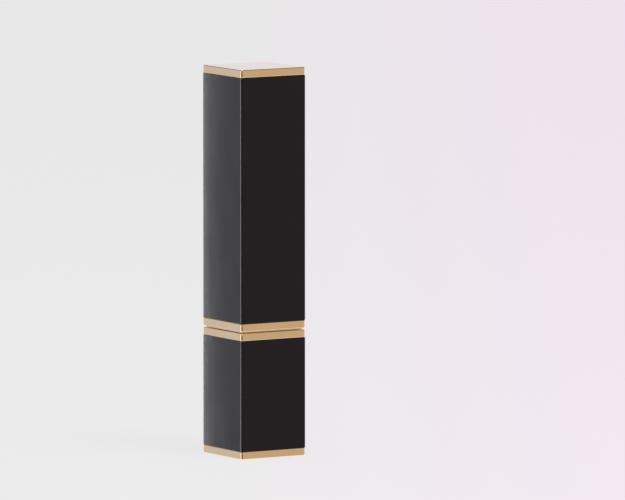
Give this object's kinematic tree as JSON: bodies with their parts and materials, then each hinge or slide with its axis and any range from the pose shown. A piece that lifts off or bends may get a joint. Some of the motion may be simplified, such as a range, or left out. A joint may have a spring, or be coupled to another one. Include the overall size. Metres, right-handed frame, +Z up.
{
  "type": "lipstick case",
  "caption": "Slim square lipstick case in satin black with gold bands, a pull-off cap and a round gold tube that turns to raise a rounded red stick.",
  "frame": {"origin": "centre of the base's underside, on the case's axis", "axes": "+Z up along the case's axis towards the cap; X and Y are square to its flat sides"},
  "size_m": [0.0164, 0.0164, 0.085],
  "materials": {
    "gold_metal": "polished pale gold anodised",
    "black_sleeve": "satin black anodised",
    "collar_black": "gloss black moulding",
    "liner_plastic": "matt black moulding",
    "mechanism_plastic": "natural low-friction moulding",
    "silicone": "translucent grey silicone",
    "lipstick_wax": "smooth crimson wax",
    "weight_steel": "plain steel",
    "magnet_nickel": "nickel plated",
    "label_paper": "blank matt label"
  },
  "bodies": {
    "base": {"base_plate": "gold_metal", "shade_label": "label_paper", "base_weight": "weight_steel", "base_shell": "black_sleeve", "base_liner": "liner_plastic", "spiral_tube": "mechanism_plastic", "shoulder_trim": "gold_metal", "collar": "collar_black", "base_magnets": "magnet_nickel"},
    "tube": {"tube_sleeve": "gold_metal", "slotted_guide": "mechanism_plastic", "friction_ring": "silicone"},
    "carrier": {"carrier_cup": "mechanism_plastic", "lipstick_bullet": "lipstick_wax"},
    "cap": {"cap_shell": "black_sleeve", "cap_top_plate": "gold_metal", "cap_bottom_trim": "gold_metal", "cap_stop_ring": "gold_metal", "cap_liner": "liner_plastic", "cap_weight": "weight_steel", "cap_magnets": "magnet_nickel"}
  },
  "joints": [
    {"name": "tube_twist", "type": "hinge", "parent": "base", "child": "tube", "pos_m": [0, 0, 0.02665], "axis": [0, 0, -1], "range_deg": [0, 450]},
    {"name": "bullet_lift", "type": "slide", "parent": "tube", "child": "carrier", "axis": [0, 0, 1], "range_m": [0, 0.02]},
    {"name": "cap_pull", "type": "slide", "parent": "base", "child": "cap", "axis": [0, 0, 1], "range_m": [0, 0.044]}
  ],
  "couplings": [
    {"joint": "tube_twist", "follows": "bullet_lift", "rad_per_m": 392.7}
  ]
}
